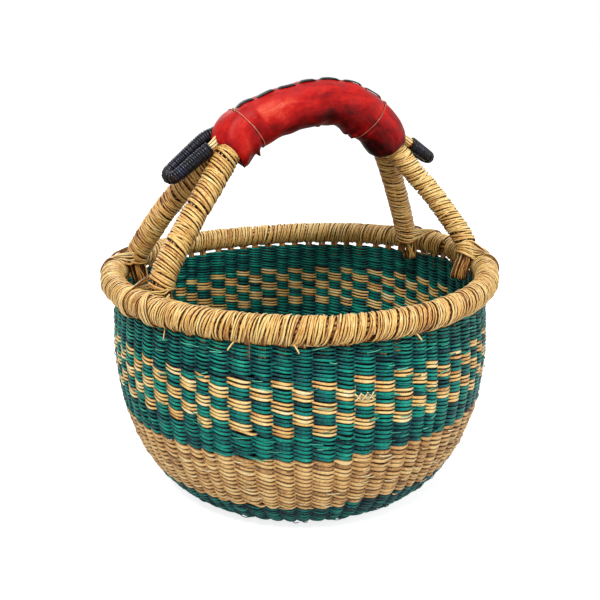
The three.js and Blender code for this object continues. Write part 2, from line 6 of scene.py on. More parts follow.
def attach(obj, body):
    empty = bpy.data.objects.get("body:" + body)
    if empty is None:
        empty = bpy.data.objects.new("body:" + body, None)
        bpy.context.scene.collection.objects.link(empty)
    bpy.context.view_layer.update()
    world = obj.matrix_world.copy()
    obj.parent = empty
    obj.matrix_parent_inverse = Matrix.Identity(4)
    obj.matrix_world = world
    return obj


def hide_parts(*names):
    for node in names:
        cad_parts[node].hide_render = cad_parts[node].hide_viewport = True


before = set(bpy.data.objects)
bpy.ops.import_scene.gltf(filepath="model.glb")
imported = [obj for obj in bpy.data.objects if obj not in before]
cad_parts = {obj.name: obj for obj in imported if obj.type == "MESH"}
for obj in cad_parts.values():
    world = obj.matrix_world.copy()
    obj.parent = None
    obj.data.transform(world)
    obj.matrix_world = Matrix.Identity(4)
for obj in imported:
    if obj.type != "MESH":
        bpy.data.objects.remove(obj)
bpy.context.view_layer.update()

rng = np.random.default_rng(11)
TURN = 2 * np.pi
MM = 0.001

# Bowl, in millimetres
RIM_RADIUS, RIM_HEIGHT, RIM_LIFT = 180, 210, 2.6
RESTING_RADIUS, START_RADIUS, FLOOR_RADIUS = 107, 32, 62
BELLY_RADIUS, BELLY_HEIGHT = 183.1, 144.6
WALL_TOP_RADIUS, WALL_TOP, WALL_THICKNESS = 179.6, 192.4, 7
BAND_TOPS = (38, 95.2, 118.8, 167.2, WALL_TOP)
COLUMNS, PAIRED_COLUMNS, START_COLUMNS = 68, 34, 17
FRONT_ANGLE = np.radians(-113.3)  # the side that the photograph looks at
VIEW_RIGHT = np.array([np.cos(FRONT_ANGLE + np.pi / 2), np.sin(FRONT_ANGLE + np.pi / 2), 0])
SEAM = np.radians(-99.7)  # where a row's end passes over its start
FIRST_COLUMN = -0.0833  # an even column's place from the front, in radians

# Rim
WRAP_HALF_WIDTH, WRAP_HALF_HEIGHT, WRAP_DROP = 11.3, 12.1, 0.9
BUNDLE_RADIUS, BUNDLE_STRAWS = 7, 8

# Handle
HANDLE_HEIGHT = 158.4
HOOP_RADIUS, LEG_RADIUS, GAP = 8.6, 10.7, 0.3
HOOP_OFFSET = LEG_RADIUS + GAP / 2
FOOT_RING = RIM_RADIUS - WRAP_HALF_WIDTH - GAP - LEG_RADIUS
FOOT_DEPTH, BARE_END, WOUND_END = 27, 12, 36
GRIP_HALF_WIDTH, GRIP_HALF_HEIGHT = 23.6, 21.4
LEATHER, OVERHANG, FLARE = 1.4, 9, 0.4
EAR_RADIUS, EAR_SLIT, EAR_RISE, EAR_TAIL, EAR_BARE = 5.4, 1.6, 14, 16, 10

# The grip's line: along in shares of the rim's radius, up from the rim in shares of the handle's height
GRIP_SHARES = [
    (-0.385, 0.775), (-0.3, 0.852), (-0.13, 0.94), (0.03, 0.985),
    (0.16, 1), (0.3, 0.968), (0.43, 0.88), (0.54, 0.72),
]

# Legs: side -1 is the front hoop, end -1 the left end, and angle the foot's place on the rim. Head and knee
# bend the line, lean moves it outwards at LEAN_HEIGHTS, wound is the radius over the winding, coil tells of
# slant and shade, and low sinks the lashing's end on one flank.
ALIKE = dict(shade=0.1, tone=0.52, low=0)  # where a leg says nothing else
LEGS = {
    "left_front": dict(
        ALIKE, side=-1, end=-1, angle=20, head=(-0.555, -0.09, 0.49), knee=0.17,
        lean=(0, 5, 9.5, 12, 10, 7, 4, 0), wound=11.8, slant=2, low=9,
    ),
    "right_front": dict(
        ALIKE, side=-1, end=1, angle=22, head=(0.8, -0.08, 0.4), knee=0.25,
        lean=(0, 5, 10.5, 13, 9.5, 4.5, 1.8, -1.5), wound=11, slant=3, shade=0.24, tone=0.61,
    ),
    "left_rear": dict(
        ALIKE, side=1, end=-1, angle=25.4, head=(-0.605, 0.09, 0.56), knee=0.21,
        lean=(0, 5, 9.5, 9, 6.5, 4, 2, 0), wound=11.7, slant=2,
    ),
    "right_rear": dict(
        ALIKE, side=1, end=1, angle=15.5, head=(0.63, 0.08, 0.5), knee=0.06,
        lean=(0, -1, -2, -2, -2, -2, -2, -2), wound=11.3, slant=2.6,
    ),
}
LEAN_HEIGHTS = (200, 210, 218, 228, 240, 255, 272, 300)


# Shader helpers
def rgb(red, green, blue):
    """A colour given in 0 to 255 as the shader takes it."""
    c = np.array([red, green, blue]) / 255
    linear = np.where(c <= 0.04045, c / 12.92, ((c + 0.055) / 1.055) ** 2.4)
    return (*linear.tolist(), 1)


def feed(tree, made, sockets):
    """Gives a node's inputs their values or links."""
    for key, value in sockets.items():
        if isinstance(value, bpy.types.NodeSocket):
            tree.links.new(value, made.inputs[key])
        else:
            made.inputs[key].default_value = value


def node(tree, kind, sockets, **settings):
    made = tree.nodes.new("ShaderNode" + kind)
    for key, value in settings.items():
        setattr(made, key, value)
    feed(tree, made, sockets)
    return made


def ramp(tree, value, colours, places=()):
    """Colours at their places, or else at even steps."""
    made = node(tree, "ValToRGB", {"Fac": value})
    points = made.color_ramp.elements
    while len(points) < len(colours):
        points.new(0.5)
    for point, colour, place in zip(points, colours, places or np.linspace(0, 1, len(colours))):
        point.position = place
        point.color = rgb(*colour)
    return made.outputs["Color"]


def math(tree, operation, *values, clamp=False):
    return node(tree, "Math", dict(enumerate(values)), operation=operation, use_clamp=clamp).outputs[0]


def centred(tree, noise_node, size):
    """Noise brought to both sides of zero."""
    return math(tree, "MULTIPLY_ADD", noise_node.outputs["Fac"], size, -size / 2)


def map_range(tree, value, low, high, new_low, new_high, **settings):
    return node(tree, "MapRange", {
        "Value": value, "From Min": low, "From Max": high, "To Min": new_low, "To Max": new_high,
    }, **settings).outputs[0]


def bump(tree, height, strength, distance, **sockets):
    sockets = {"Height": height, "Strength": strength, "Distance": distance, **sockets}
    return node(tree, "Bump", sockets).outputs[0]


def drawn_noise(tree, place, scale, shift=(0, 0, 0), **sockets):
    """Noise with a scale of its own in each direction."""
    drawn = node(tree, "VectorMath", {0: place, 1: scale}, operation="MULTIPLY")
    drawn = node(tree, "VectorMath", {0: drawn.outputs[0], 1: shift}, operation="ADD")
    return node(tree, "TexNoise", {"Vector": drawn.outputs[0], "Scale": 1.0, **sockets})


def new_material(name):
    made = bpy.data.materials.new(name)
    made.use_nodes = True
    return made, made.node_tree, made.node_tree.nodes["Principled BSDF"]


# Straw
FIBRE_SCALE, PATCH_SCALE = (90, 5, 1), (22, 1.2, 1)  # waves to a metre of strand, and to one turn round it
FIBRE_CONTRAST, FIBRE_HEIGHT = 1.15, 0.0004
TONE_SHIFT = 40.0  # strands of another tone have another part of the noise


def straw(
    name, colours, roughness=(0.24, 0.42), specular=0.5, blotch=0.3, coat=0.0,
    flank_dark=1.0, flank_colour=(92, 50, 22),
):
    """Split straw: fibres along each strand, flanks in shade, and tones that change from strand to strand."""
    made, tree, surface = new_material(name)
    tone = node(tree, "Attribute", {}, attribute_name="tone").outputs["Fac"]
    along = node(tree, "UVMap", {}, uv_map="Strand").outputs["UV"]
    shift = node(tree, "CombineXYZ", {"Z": math(tree, "MULTIPLY", tone, TONE_SHIFT)}).outputs[0]
    fibre = drawn_noise(tree, along, FIBRE_SCALE, shift, Detail=4.0, Roughness=0.65)
    patch = drawn_noise(tree, along, PATCH_SCALE, shift, Detail=2.0)
    shade = math(tree, "ADD", tone, centred(tree, fibre, FIBRE_CONTRAST))
    shade = math(tree, "ADD", shade, centred(tree, patch, blotch), clamp=True)
    round_it = node(tree, "SeparateXYZ", {"Vector": along}).outputs["Y"]
    sideness = math(tree, "ABSOLUTE", math(tree, "SINE", math(tree, "MULTIPLY", round_it, TURN)))
    flank = map_range(tree, sideness, 0.42, 0.98, 0.0, flank_dark, interpolation_type="SMOOTHSTEP")
    colour = node(
        tree, "Mix", {0: flank, 6: ramp(tree, shade, colours), 7: rgb(*flank_colour)},
        data_type="RGBA", blend_type="MULTIPLY",
    )
    feed(tree, surface, {
        "Base Color": colour.outputs[2],
        "Roughness": map_range(tree, fibre.outputs["Fac"], 0.3, 0.7, *roughness),
        "Normal": bump(tree, fibre.outputs["Fac"], 0.55, FIBRE_HEIGHT),
        "Specular IOR Level": specular, "Coat Weight": coat, "Coat Roughness": 0.25,
    })
    return made


NATURAL = straw("straw_natural", [
    (104, 60, 24), (196, 132, 62), (243, 193, 108), (255, 224, 146), (255, 246, 200),
])
DRY = straw("straw_dry", [
    (110, 68, 34), (196, 144, 80), (238, 192, 120), (250, 216, 150), (255, 238, 190),
], flank_dark=0.8, roughness=(0.36, 0.54))
TEAL = straw("straw_teal", [
    (0, 14, 22), (0, 68, 76), (0, 130, 118), (18, 168, 142), (104, 208, 176),
], roughness=(0.3, 0.46), specular=0.2, flank_colour=(0, 10, 16))
BLACK = straw("straw_black", [
    (3, 3, 9), (10, 10, 24), (34, 38, 70),
], roughness=(0.2, 0.34), specular=0.32, coat=0.03, flank_colour=(0, 0, 4))
THREAD = straw("thread_pale", [(176, 70, 44), (220, 130, 96), (244, 214, 184)], blotch=0.2)
LACE = straw("lace_black", [
    (8, 12, 14), (28, 36, 37), (66, 80, 78),
], roughness=(0.35, 0.55), specular=0.3)


# Leather
def leather_material():
    """Red leather with streaks along it, clouds of wear, and a fine grain."""
    made, tree, surface = new_material("leather_red")
    place = node(tree, "UVMap", {}, uv_map="Strand").outputs["UV"]
    where = node(tree, "TexCoord", {}).outputs["Object"]
    tone = node(tree, "Attribute", {}, attribute_name="tone").outputs["Fac"]
    streak = drawn_noise(tree, place, (30, 10, 1), Detail=5.0, Roughness=0.7, Distortion=0.8)
    cloud = node(tree, "TexNoise", {"Vector": where, "Scale": 70.0, "Detail": 8.0, "Roughness": 0.75})
    grain = node(tree, "TexVoronoi", {"Vector": where, "Scale": 1100.0})
    shade = math(tree, "ADD", centred(tree, streak, 0.9), tone)
    shade = math(tree, "ADD", centred(tree, cloud, 0.7), shade, clamp=True)
    fine = bump(tree, grain.outputs["Distance"], 0.12, 0.0002)
    feed(tree, surface, {
        "Base Color": ramp(tree, shade, [
            (34, 0, 4), (108, 0, 4), (172, 10, 10), (202, 28, 20), (218, 72, 52), (236, 132, 108),
        ], (0, 0.25, 0.45, 0.6, 0.78, 1)),
        "Roughness": map_range(tree, cloud.outputs["Fac"], 0.35, 0.65, 0.36, 0.62),
        "Normal": bump(tree, streak.outputs["Fac"], 0.5, 0.0012, Normal=fine),
        "Specular IOR Level": 0.17, "Coat Weight": 0.02, "Coat Roughness": 0.3,
    })
    return made


# Curves
def unit(vectors):
    return vectors / np.linalg.norm(vectors, axis=-1, keepdims=True)


class Line:
    """A dense line of points that is read by its length."""

    def __init__(self, points):
        self.points = np.asarray(points, float)
        steps = np.linalg.norm(np.diff(self.points, axis=0), axis=1)
        self.run = np.concatenate([[0], np.cumsum(steps)])
        self.length = self.run[-1]

    def at(self, run):
        return np.stack([np.interp(run, self.run, column) for column in self.points.T], axis=-1)

    def tangent(self, run):
        return unit(self.at(np.minimum(run + 0.5, self.length)) - self.at(np.maximum(run - 0.5, 0)))


def bezier(a, b, c, d, steps=300):
    t = np.linspace(0, 1, steps)[:, None]
    a, b, c, d = (np.asarray(p, float) for p in (a, b, c, d))
    return (1 - t) ** 3 * a + 3 * (1 - t) ** 2 * t * b + 3 * (1 - t) * t**2 * c + t**3 * d


def through(points, steps):
    """A smooth curve through the points, in some steps from each to the next."""
    p = np.asarray(points, float)
    p = np.vstack([2 * p[0] - p[1], p, 2 * p[-1] - p[-2]])
    t = np.linspace(0, 1, steps, endpoint=False)[:, None]
    pieces = []
    for i in range(1, len(p) - 2):
        before, here, after = (
            max(np.linalg.norm(p[i + k] - p[i + k - 1]) ** 0.5, 1e-4) for k in range(3)
        )
        a, b, c, d = p[i - 1 : i + 3]
        leave = ((b - a) / before - (c - a) / (before + here) + (c - b) / here) * here
        reach = ((c - b) / here - (d - b) / (here + after) + (d - c) / after) * here
        square, cube = 3 * (c - b) - 2 * leave - reach, 2 * (b - c) + leave + reach
        pieces.append(b + leave * t + square * t**2 + cube * t**3)
    return np.vstack([*pieces, p[-2][None]])


def lift(angle, height):
    """How far the bowl rises at its left and right, and sinks at its front and rear."""
    return RIM_LIFT * np.cos(2 * angle) * np.clip(height / RIM_HEIGHT, 0, 1) ** 2


shoulder = (WALL_TOP - BELLY_HEIGHT) / 3
profile = Line(np.vstack([
    np.linspace((0, 0), (RESTING_RADIUS, 0), 60)[:-1],
    bezier(
        (RESTING_RADIUS, 0), ((RESTING_RADIUS + BELLY_RADIUS) / 2, 0),
        (BELLY_RADIUS, BELLY_HEIGHT * 0.4), (BELLY_RADIUS, BELLY_HEIGHT),
    )[:-1],
    bezier(
        (BELLY_RADIUS, BELLY_HEIGHT), (BELLY_RADIUS, BELLY_HEIGHT + shoulder),
        (BELLY_RADIUS + (WALL_TOP_RADIUS - BELLY_RADIUS) * 0.65, BELLY_HEIGHT + 2 * shoulder),
        (WALL_TOP_RADIUS, WALL_TOP),
    ),
    [(WALL_TOP_RADIUS - 0.4, WALL_TOP + 5)],
]))


def run_at(height):
    """How far along the profile it reaches a height."""
    risen = profile.run > RESTING_RADIUS
    return np.interp(height, profile.points[risen, 1], profile.run[risen])


def turned(radial, upward, angle):
    """Points or directions of a radial plane, turned to their angle round the bowl."""
    return np.stack([radial * np.cos(angle), radial * np.sin(angle), upward + 0 * angle], axis=-1)


def outwards(angle):
    """The level direction away from the bowl's middle at one angle."""
    return turned(1, 0, np.array([angle]))[0]


def wall(run, out, angle):
    """Points out from the middle of the wall, and the wall's outward direction there."""
    point, tangent = profile.at(run), profile.tangent(run)
    depth = WALL_THICKNESS / 2 - out
    radius = point[..., 0] - tangent[..., 1] * depth
    height = point[..., 1] + tangent[..., 0] * depth
    return (
        turned(radius, height + lift(angle, height), angle),
        turned(tangent[..., 1], -tangent[..., 0], angle),
    )


def frame_along(line, run):
    """Points of a line, and the sideways and upward directions across it, with the side kept near to +Y."""
    point, tangent = line.at(run), line.tangent(run)
    side = unit(np.array([0, 1, 0]) - tangent * tangent[..., 1:2])
    return point, side, np.cross(tangent, side)


def spun(side, up, angle):
    """The directions at an angle from the sideways one towards the upward one."""
    return side * np.cos(angle)[:, None] + up * np.sin(angle)[:, None]


def round_line(line, run, angle):
    """Points of a line, and the directions out from it."""
    point, side, up = frame_along(line, run)
    return point, spun(side, up, angle)


# Meshes
BAKE_SLACK, BAKE_MARGIN = 1.05, 0.04  # what a row of the bake map leaves free at its end, and above and below


def new_mesh(name, points, corners, sizes, tones, maps):
    mesh = bpy.data.meshes.new(name)
    mesh.vertices.add(len(points))
    mesh.vertices.foreach_set("co", np.ascontiguousarray(points, np.float32).ravel())
    mesh.loops.add(len(corners))
    mesh.loops.foreach_set("vertex_index", np.ascontiguousarray(corners, np.int32))
    starts = np.concatenate([[0], np.cumsum(sizes)[:-1]])
    mesh.polygons.add(len(sizes))
    mesh.polygons.foreach_set("loop_start", starts.astype(np.int32))
    for key, places in maps.items():
        mesh.uv_layers.new(name=key).data.foreach_set("uv", places.astype(np.float32).ravel())
    mesh.attributes.new("tone", "FLOAT", "POINT").data.foreach_set("value", tones.astype(np.float32))
    mesh.update(calc_edges=True)
    mesh.validate()
    mesh.polygons.foreach_set("use_smooth", np.ones(len(sizes), bool))
    return mesh


def piece(mesh, material, slot, *nodes):
    """Puts a mesh in the scene as a piece that stands for CAD nodes."""
    made = bpy.data.objects.new(mesh.name, mesh)
    bpy.context.scene.collection.objects.link(made)
    made.data.materials.append(material)
    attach(made, "root")
    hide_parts(*nodes)
    return made


def quads(rows, sides):
    """For each face of a sheet, the rows and the places in them of its four corners."""
    i, j = np.meshgrid(np.arange(rows), np.arange(sides), indexing="ij")
    i, j = i.ravel(), j.ravel()
    return np.stack([i, i, i + 1, i + 1], 1), np.stack([j, j + 1, j + 1, j], 1)


class Strands:
    """Gathers strands and makes one closed mesh of them, with the run of each strand in its map."""

    def __init__(self, paler=0.0):
        self.paler = paler
        self.rings, self.tones, self.runs, self.girths = [], [], [], []

    def add(self, path, out, half_width, half_thickness, tone=0.5, sides=8):
        path = np.asarray(path, float)
        count = len(path)
        out = np.broadcast_to(np.asarray(out, float), path.shape)
        half_width, half_thickness, tone = (
            np.broadcast_to(np.asarray(v, float), (count,)) for v in (half_width, half_thickness, tone)
        )
        tangent = unit(np.gradient(path, axis=0))
        across = unit(np.cross(out, tangent))
        out = np.cross(tangent, across)
        angle = np.arange(sides) / sides * TURN - np.pi / 2
        wide = half_width[:, None, None] * np.cos(angle)[:, None] * across[:, None]
        thick = half_thickness[:, None, None] * np.sin(angle)[:, None] * out[:, None]
        self.rings.append(path[:, None] + wide + thick)
        steps = np.linalg.norm(np.diff(path, axis=0), axis=1)
        self.runs.append(np.concatenate([[0], np.cumsum(steps)]))
        self.tones.append(tone + self.paler)
        self.girths.append(np.pi * (half_width.mean() + half_thickness.mean()))

    def mesh(self, name):
        """The strands with a disc at each end. The bake map has rows of strands, and rows of discs above."""
        corners, corner_map, bake_map, sizes, first, placed = [], [], [], [], 0, 0
        girth = max(self.girths)
        total = sum(run[-1] + girth for run in self.runs)
        row_length = np.sqrt(total * girth) + girth
        rows = int(total / row_length) + 2
        per_row = max(int(row_length / girth), 1)
        all_rows = rows + int(np.ceil(2 * len(self.rings) * girth / row_length))
        for number, (ring, run) in enumerate(zip(self.rings, self.runs)):
            count, sides = ring.shape[:2]
            quad_i, quad_j = quads(count - 1, sides)
            corners.append((first + quad_i * sides + quad_j % sides).ravel())
            sizes.append(np.full(len(quad_i), 4))
            corner_map.append(np.stack([run[quad_i] * MM, quad_j / sides], -1).reshape(-1, 2))
            row = ((placed + run[quad_i[:, 0]]) // row_length)[:, None]
            across = (placed + run[quad_i] - row * row_length) / (row_length * BAKE_SLACK)
            up = (row + BAKE_MARGIN + (1 - 2 * BAKE_MARGIN) * quad_j / sides) / all_rows
            bake_map.append(np.stack([across, up], -1).reshape(-1, 2))
            placed += run[-1] + girth
            disc = np.arange(sides) / sides * TURN
            for end, order in enumerate((np.arange(sides)[::-1], np.arange(sides))):
                corners.append(first + (count - 1) * sides * end + order)
                sizes.append([sides])
                corner_map.append(np.full((sides, 2), (run[-1] * end * MM, 0.5)))
                cell = 2 * number + end
                centre = np.array([(cell % per_row + 0.5) / per_row, rows + cell // per_row + 0.5])
                spot = np.stack([0.4 * np.cos(disc[order]) / per_row, 0.4 * np.sin(disc[order])], -1) + centre
                bake_map.append(spot / (BAKE_SLACK, all_rows))
            first += count * sides
        points = np.concatenate([ring.reshape(-1, 3) for ring in self.rings]) * MM
        tones = np.concatenate([np.repeat(t, r.shape[1]) for t, r in zip(self.tones, self.rings)])
        return new_mesh(
            name, points, np.concatenate(corners), np.concatenate(sizes), tones,
            {"Strand": np.concatenate(corner_map), "OFBake": np.concatenate(bake_map)},
        )


# Weave
COLUMN_WAVES = ((0.09, 5, 0.4), (0.07, 11, 2.1), (0.06, 17, 4.0), (0.04, 29, 1.1))
PUSHED_COLUMNS = ((-0.38, -127.4), (0.26, -87.5))  # by how much of a column, and at which angle
PUSH_REACH = 3.6
STAKE_SHARE, STAKE_HALF_WIDTH = 0.78, 13.5  # in shares of a column's width, and at most
WEFT_SAMPLES, STRAW_COLUMNS = 6, 9  # points to a column, and columns that one straw passes
TWIST = 0.26  # how far a strand rises and sinks between the stakes, in shares of the pitch
OWN_HEIGHT, OWN_DEPTH, OWN_WIDTH, OWN_TONE = 0.07, 0.22, 0.12, 0.1  # how much a stitch differs from others
CHECKER_ROWS = (3, 3, 3, 3, 2)


def column_at(angle, columns):
    """The column at an angle round the bowl. Whole numbers are the columns' middles, and widths vary."""
    from_front = angle - FRONT_ANGLE
    place = (from_front - FIRST_COLUMN - 0.011 * (1 - np.cos(from_front))) * columns / TURN
    wander = sum(size * np.sin(waves * angle + start) for size, waves, start in COLUMN_WAVES)
    wander = wander + sum(
        size * np.exp(-((np.degrees(angle) - middle) / PUSH_REACH) ** 2) for size, middle in PUSHED_COLUMNS
    )
    return place + wander * columns / COLUMNS


def column_angles(columns):
    """Where the middles of the columns lie."""
    fine = np.linspace(-np.pi, np.pi, 3601)
    place = column_at(fine, columns)
    return [np.interp(k, place, fine) for k in range(int(np.ceil(place[0])), int(np.floor(place[-1])) + 1)]


def weft(into, strand, low, pitch, start, end, columns, bulge=2.1, tone=0.5, groove=0.27, stretch=0.0):
    """One of the two strands that twist round each other between the stakes, over some turns of a spiral.

    groove paints shade on it between the stakes, where the two strands twist round each other, and stretch
    spreads the rows upwards by an uneven amount."""
    count = int(round((end - start) * columns * WEFT_SAMPLES)) + 1
    turn = np.linspace(start, end, count)
    angle = SEAM - TURN * turn
    column = column_at(angle, columns)
    phase = np.pi * (column + strand)
    front = np.cos(phase)
    middle = np.abs(front)
    to_right = column - np.round(column)
    near = np.round(column).astype(int)
    near -= near.min()
    own = rng.normal(size=(4, near.max() + 1))
    uneven = 0.97 + 0.03 * np.cos(angle - FRONT_ANGLE) + 0.12 * np.sin(9 * angle) + 0.18 * np.sin(23 * angle)
    run = low + turn * pitch * (1 + stretch * uneven) - TWIST * pitch * np.sin(phase)
    run += (OWN_HEIGHT * own[0][near] - TWIST / 2) * middle * pitch
    run += 0.45 * np.sin(5 * angle + run / 17) + 0.3 * np.sin(11 * angle - run / 9)
    out = bulge * np.tanh(1.3 * front) / np.tanh(1.3) + (OWN_DEPTH * own[1][near] + 1.2 * to_right) * middle
    path, outward = wall(run, out, angle)
    half_width = pitch * (0.35 + 0.14 * middle) * (1 + OWN_WIDTH * own[2][near] * middle)
    straws = rng.normal(size=near.max() // STRAW_COLUMNS + 2)
    straw_here = (near + int(rng.integers(STRAW_COLUMNS))) // STRAW_COLUMNS % len(straws)
    tones = tone + 0.06 * straws[straw_here] + OWN_TONE * own[3][near]
    # Painted shade between the stakes, and on each grain painted light on its right half and painted shade on
    # its left
    tones = tones - groove * (1 - middle) ** 1.5 + 0.45 * to_right * middle
    into.add(path, outward, half_width, 1.25 * (0.86 + 0.14 * middle), tones)


def band(low, high, groups, columns=COLUMNS, **looks):
    """Stakes and rows of weft between two runs of the profile. The stakes are dark strips inside the weft,
    painted shade that shows through its gaps.

    Each group is a number of rows, and what its two strands go into."""
    pitch = (high - low) / sum(rows for rows, _ in groups)
    inner = groups[0][1][1]
    steps = max(int((high - low) / 4), 2)
    runs = np.linspace(low, high, steps)
    column_width = TURN * profile.at(runs)[:, 0] / columns
    half_width = np.minimum(STAKE_SHARE * column_width, STAKE_HALF_WIDTH)
    for angle in column_angles(columns):
        spine, outward = wall(runs, 0.0, np.full(steps, angle))
        # A tone near zero: painted shade for the gaps in the weft
        inner.add(spine, outward, half_width, 0.8, 0.02, sides=6)
    done = 0
    for rows, pair in groups:
        for strand, into in enumerate(pair):
            weft(into, strand, low, pitch, done, done + rows, columns, **looks)
        done += rows


def plain_band(into, low, high, rows, columns=COLUMNS, **looks):
    """A band whose two strands are alike."""
    band(low, high, [(rows, (into, into))], columns, **looks)


def fibres(into, low, high, count, tone, tone_spread):
    """Loose ends that lie over the weave."""
    for start in rng.uniform(-np.pi, np.pi, count):
        share = np.linspace(0, 1, 6)
        angle = start + rng.uniform(5, 13) * share / RIM_RADIUS
        run = rng.uniform(low, high) + rng.uniform(-2.5, 2.5) * share
        path, outward = wall(run, 3.4 + 1.1 * np.sin(np.pi * share) * rng.random(), angle)
        into.add(path, outward, rng.uniform(0.35, 0.8), 0.35, tone + tone_spread * rng.normal(), sides=6)


base_top, natural_top, lower_top, checker_top, wall_top = (run_at(height) for height in BAND_TOPS)


def base():
    """The start disc, the flat floor with paired stakes, and the edge, where the stakes part."""
    start_weft, floor_weft, edge_weft = Strands(), Strands(), Strands()
    plain_band(start_weft, 1.5, START_RADIUS, 7, START_COLUMNS, tone=0.42, bulge=1.9)
    plain_band(floor_weft, START_RADIUS, FLOOR_RADIUS, 7, PAIRED_COLUMNS, tone=0.42)
    plain_band(floor_weft, FLOOR_RADIUS, RESTING_RADIUS, 10, PAIRED_COLUMNS, tone=0.42)
    plain_band(edge_weft, RESTING_RADIUS, base_top, 14, tone=0.37)
    fibres(edge_weft, RESTING_RADIUS, base_top, 60, 0.6, 0.25)
    piece(start_weft.mesh("start_weft"), TEAL, "straw_teal", "base_start")
    piece(floor_weft.mesh("base_weft"), TEAL, "straw_teal", "base_weave")
    piece(edge_weft.mesh("base_edge_weft"), TEAL, "straw_teal", "base_weave")


def one_colour(name, material, slot, stands_for, low, high, rows, loose, tone_spread, **looks):
    """A band of the wall in one colour, with loose ends that stay below the wall's top."""
    strands = Strands()
    plain_band(strands, low, high, rows, **looks)
    fibres(strands, low, min(high, wall_top), loose, 0.75, tone_spread)
    piece(strands.mesh(name), material, slot, stands_for)


def checker():
    """Blocks of both colours, whose strands change places from level to level, and a small cross stitch."""
    natural, teal = Strands(0.12), Strands(-0.02)
    levels = [(rows, (teal, natural) if k % 2 else (natural, teal)) for k, rows in enumerate(CHECKER_ROWS)]
    band(lower_top, checker_top, levels, tone=0.55)
    fibres(teal, lower_top, checker_top, 130, 0.75, 0.3)
    share = np.linspace(-1, 1, 7)
    for stitch in (-1, 0, 1):
        for slant in (-1, 1):
            path, outward = wall(
                run_at(151) + 3.2 * share, 4.2 - 0.8 * share**2 + 0.3 * slant,
                np.radians(-97.3 + 1.66 * stitch + 0.85 * slant * share),
            )
            natural.add(path, outward, 0.75, 0.55, 0.7)
    piece(natural.mesh("checker_natural_weft"), NATURAL, "straw_natural", "checker_band")
    piece(teal.mesh("checker_teal_weft"), TEAL, "straw_teal", "checker_band")


base()
one_colour(
    "natural_band_weft", DRY, "straw_band", "natural_band", base_top, natural_top, 13, 260, 0.25,
    tone=0.47, groove=0.26,
)
one_colour(
    "lower_teal_weft", TEAL, "straw_teal", "lower_teal_band", natural_top, lower_top, 6, 90, 0.3,
    tone=0.46,
)
checker()
one_colour(
    "upper_teal_weft", TEAL, "straw_teal", "upper_teal_band", checker_top, wall_top + 1.1, 9, 110, 0.3,
    stretch=0.09,
)


# Handle
def above_rim(shares):
    """Points in the handle's plane from their shares of the rim's radius and of the handle's height."""
    return [(along * RIM_RADIUS, 0, RIM_HEIGHT + up * HANDLE_HEIGHT) for along, up in shares]


def leg_line(leg):
    """A leg's middle line, from inside the grip through its mouth and down to the foot beside the rim."""
    foot = turned(FOOT_RING, RIM_HEIGHT + lift(leg["foot"], RIM_HEIGHT), leg["foot"])
    beside = (0, leg["side"] * HOOP_OFFSET, 0)
    mouth = grip.at(0 if leg["end"] < 0 else grip.length) + beside
    head = np.array(leg["head"]) * (RIM_RADIUS, RIM_RADIUS, HANDLE_HEIGHT) + (0, 0, RIM_HEIGHT)
    knee = foot + (0, 0, leg["knee"] * HANDLE_HEIGHT)
    down = bezier(mouth, head, knee, foot - (0, 0, FOOT_DEPTH))
    held = np.linspace(OVERHANG, 0.5, 8)
    inside = grip.at(held if leg["end"] < 0 else grip.length - held) + beside
    lean = np.interp(down[:, 2], LEAN_HEIGHTS, leg["lean"])
    lean = np.convolve(np.pad(lean, 14, mode="edge"), np.ones(29) / 29, mode="valid")
    down = down + lean[:, None] * (np.cos(leg["foot"]), np.sin(leg["foot"]), 0)
    return Line(np.vstack([inside, down]))


grip = Line(through(above_rim(GRIP_SHARES), 60))
for leg in LEGS.values():
    from_axis = np.radians(leg["angle"]) * leg["side"]
    leg["foot"] = from_axis if leg["end"] > 0 else np.pi - from_axis
    leg["line"] = leg_line(leg)


# Windings
COIL_HALF_WIDTH, COIL_THICKNESS = 1.3, 1.2


def turns_along(length, mean_half, spread, starts, samples, overlap=0.97):
    """Strands of uneven width, as many as starts, that wind side by side along a length.

    It returns the number of turns, the turns passed at each point, the turn that each point belongs to, and
    for each strand its places in shares of the length and its half widths."""
    halves = []
    while sum(halves) * 2 * overlap < length:
        halves.append(mean_half * np.exp(spread * rng.normal()))
    edges = np.concatenate([[0], np.cumsum(halves)])
    places = (edges[:-1] + edges[1:]) / 2 / edges[-1]
    middles = np.arange(len(halves)) + 0.5
    turns = int(np.ceil(len(halves) / starts))
    tau = np.linspace(0, turns, turns * samples + 1)
    strands = []
    for strand in range(starts):
        number = np.minimum(tau * starts + strand, len(halves))
        share = np.interp(number, middles, places, left=0, right=1)
        strands.append((share, np.interp(number, middles, halves)))
    return turns, tau, np.clip(tau.astype(int), 0, turns - 1), strands


def crossings(turns, tau):
    """A wander with a few bends to a turn, by which neighbouring turns cross and leave gaps."""
    bends = 3 * turns + 1
    return np.interp(tau * 3, np.arange(bends), rng.normal(size=bends))


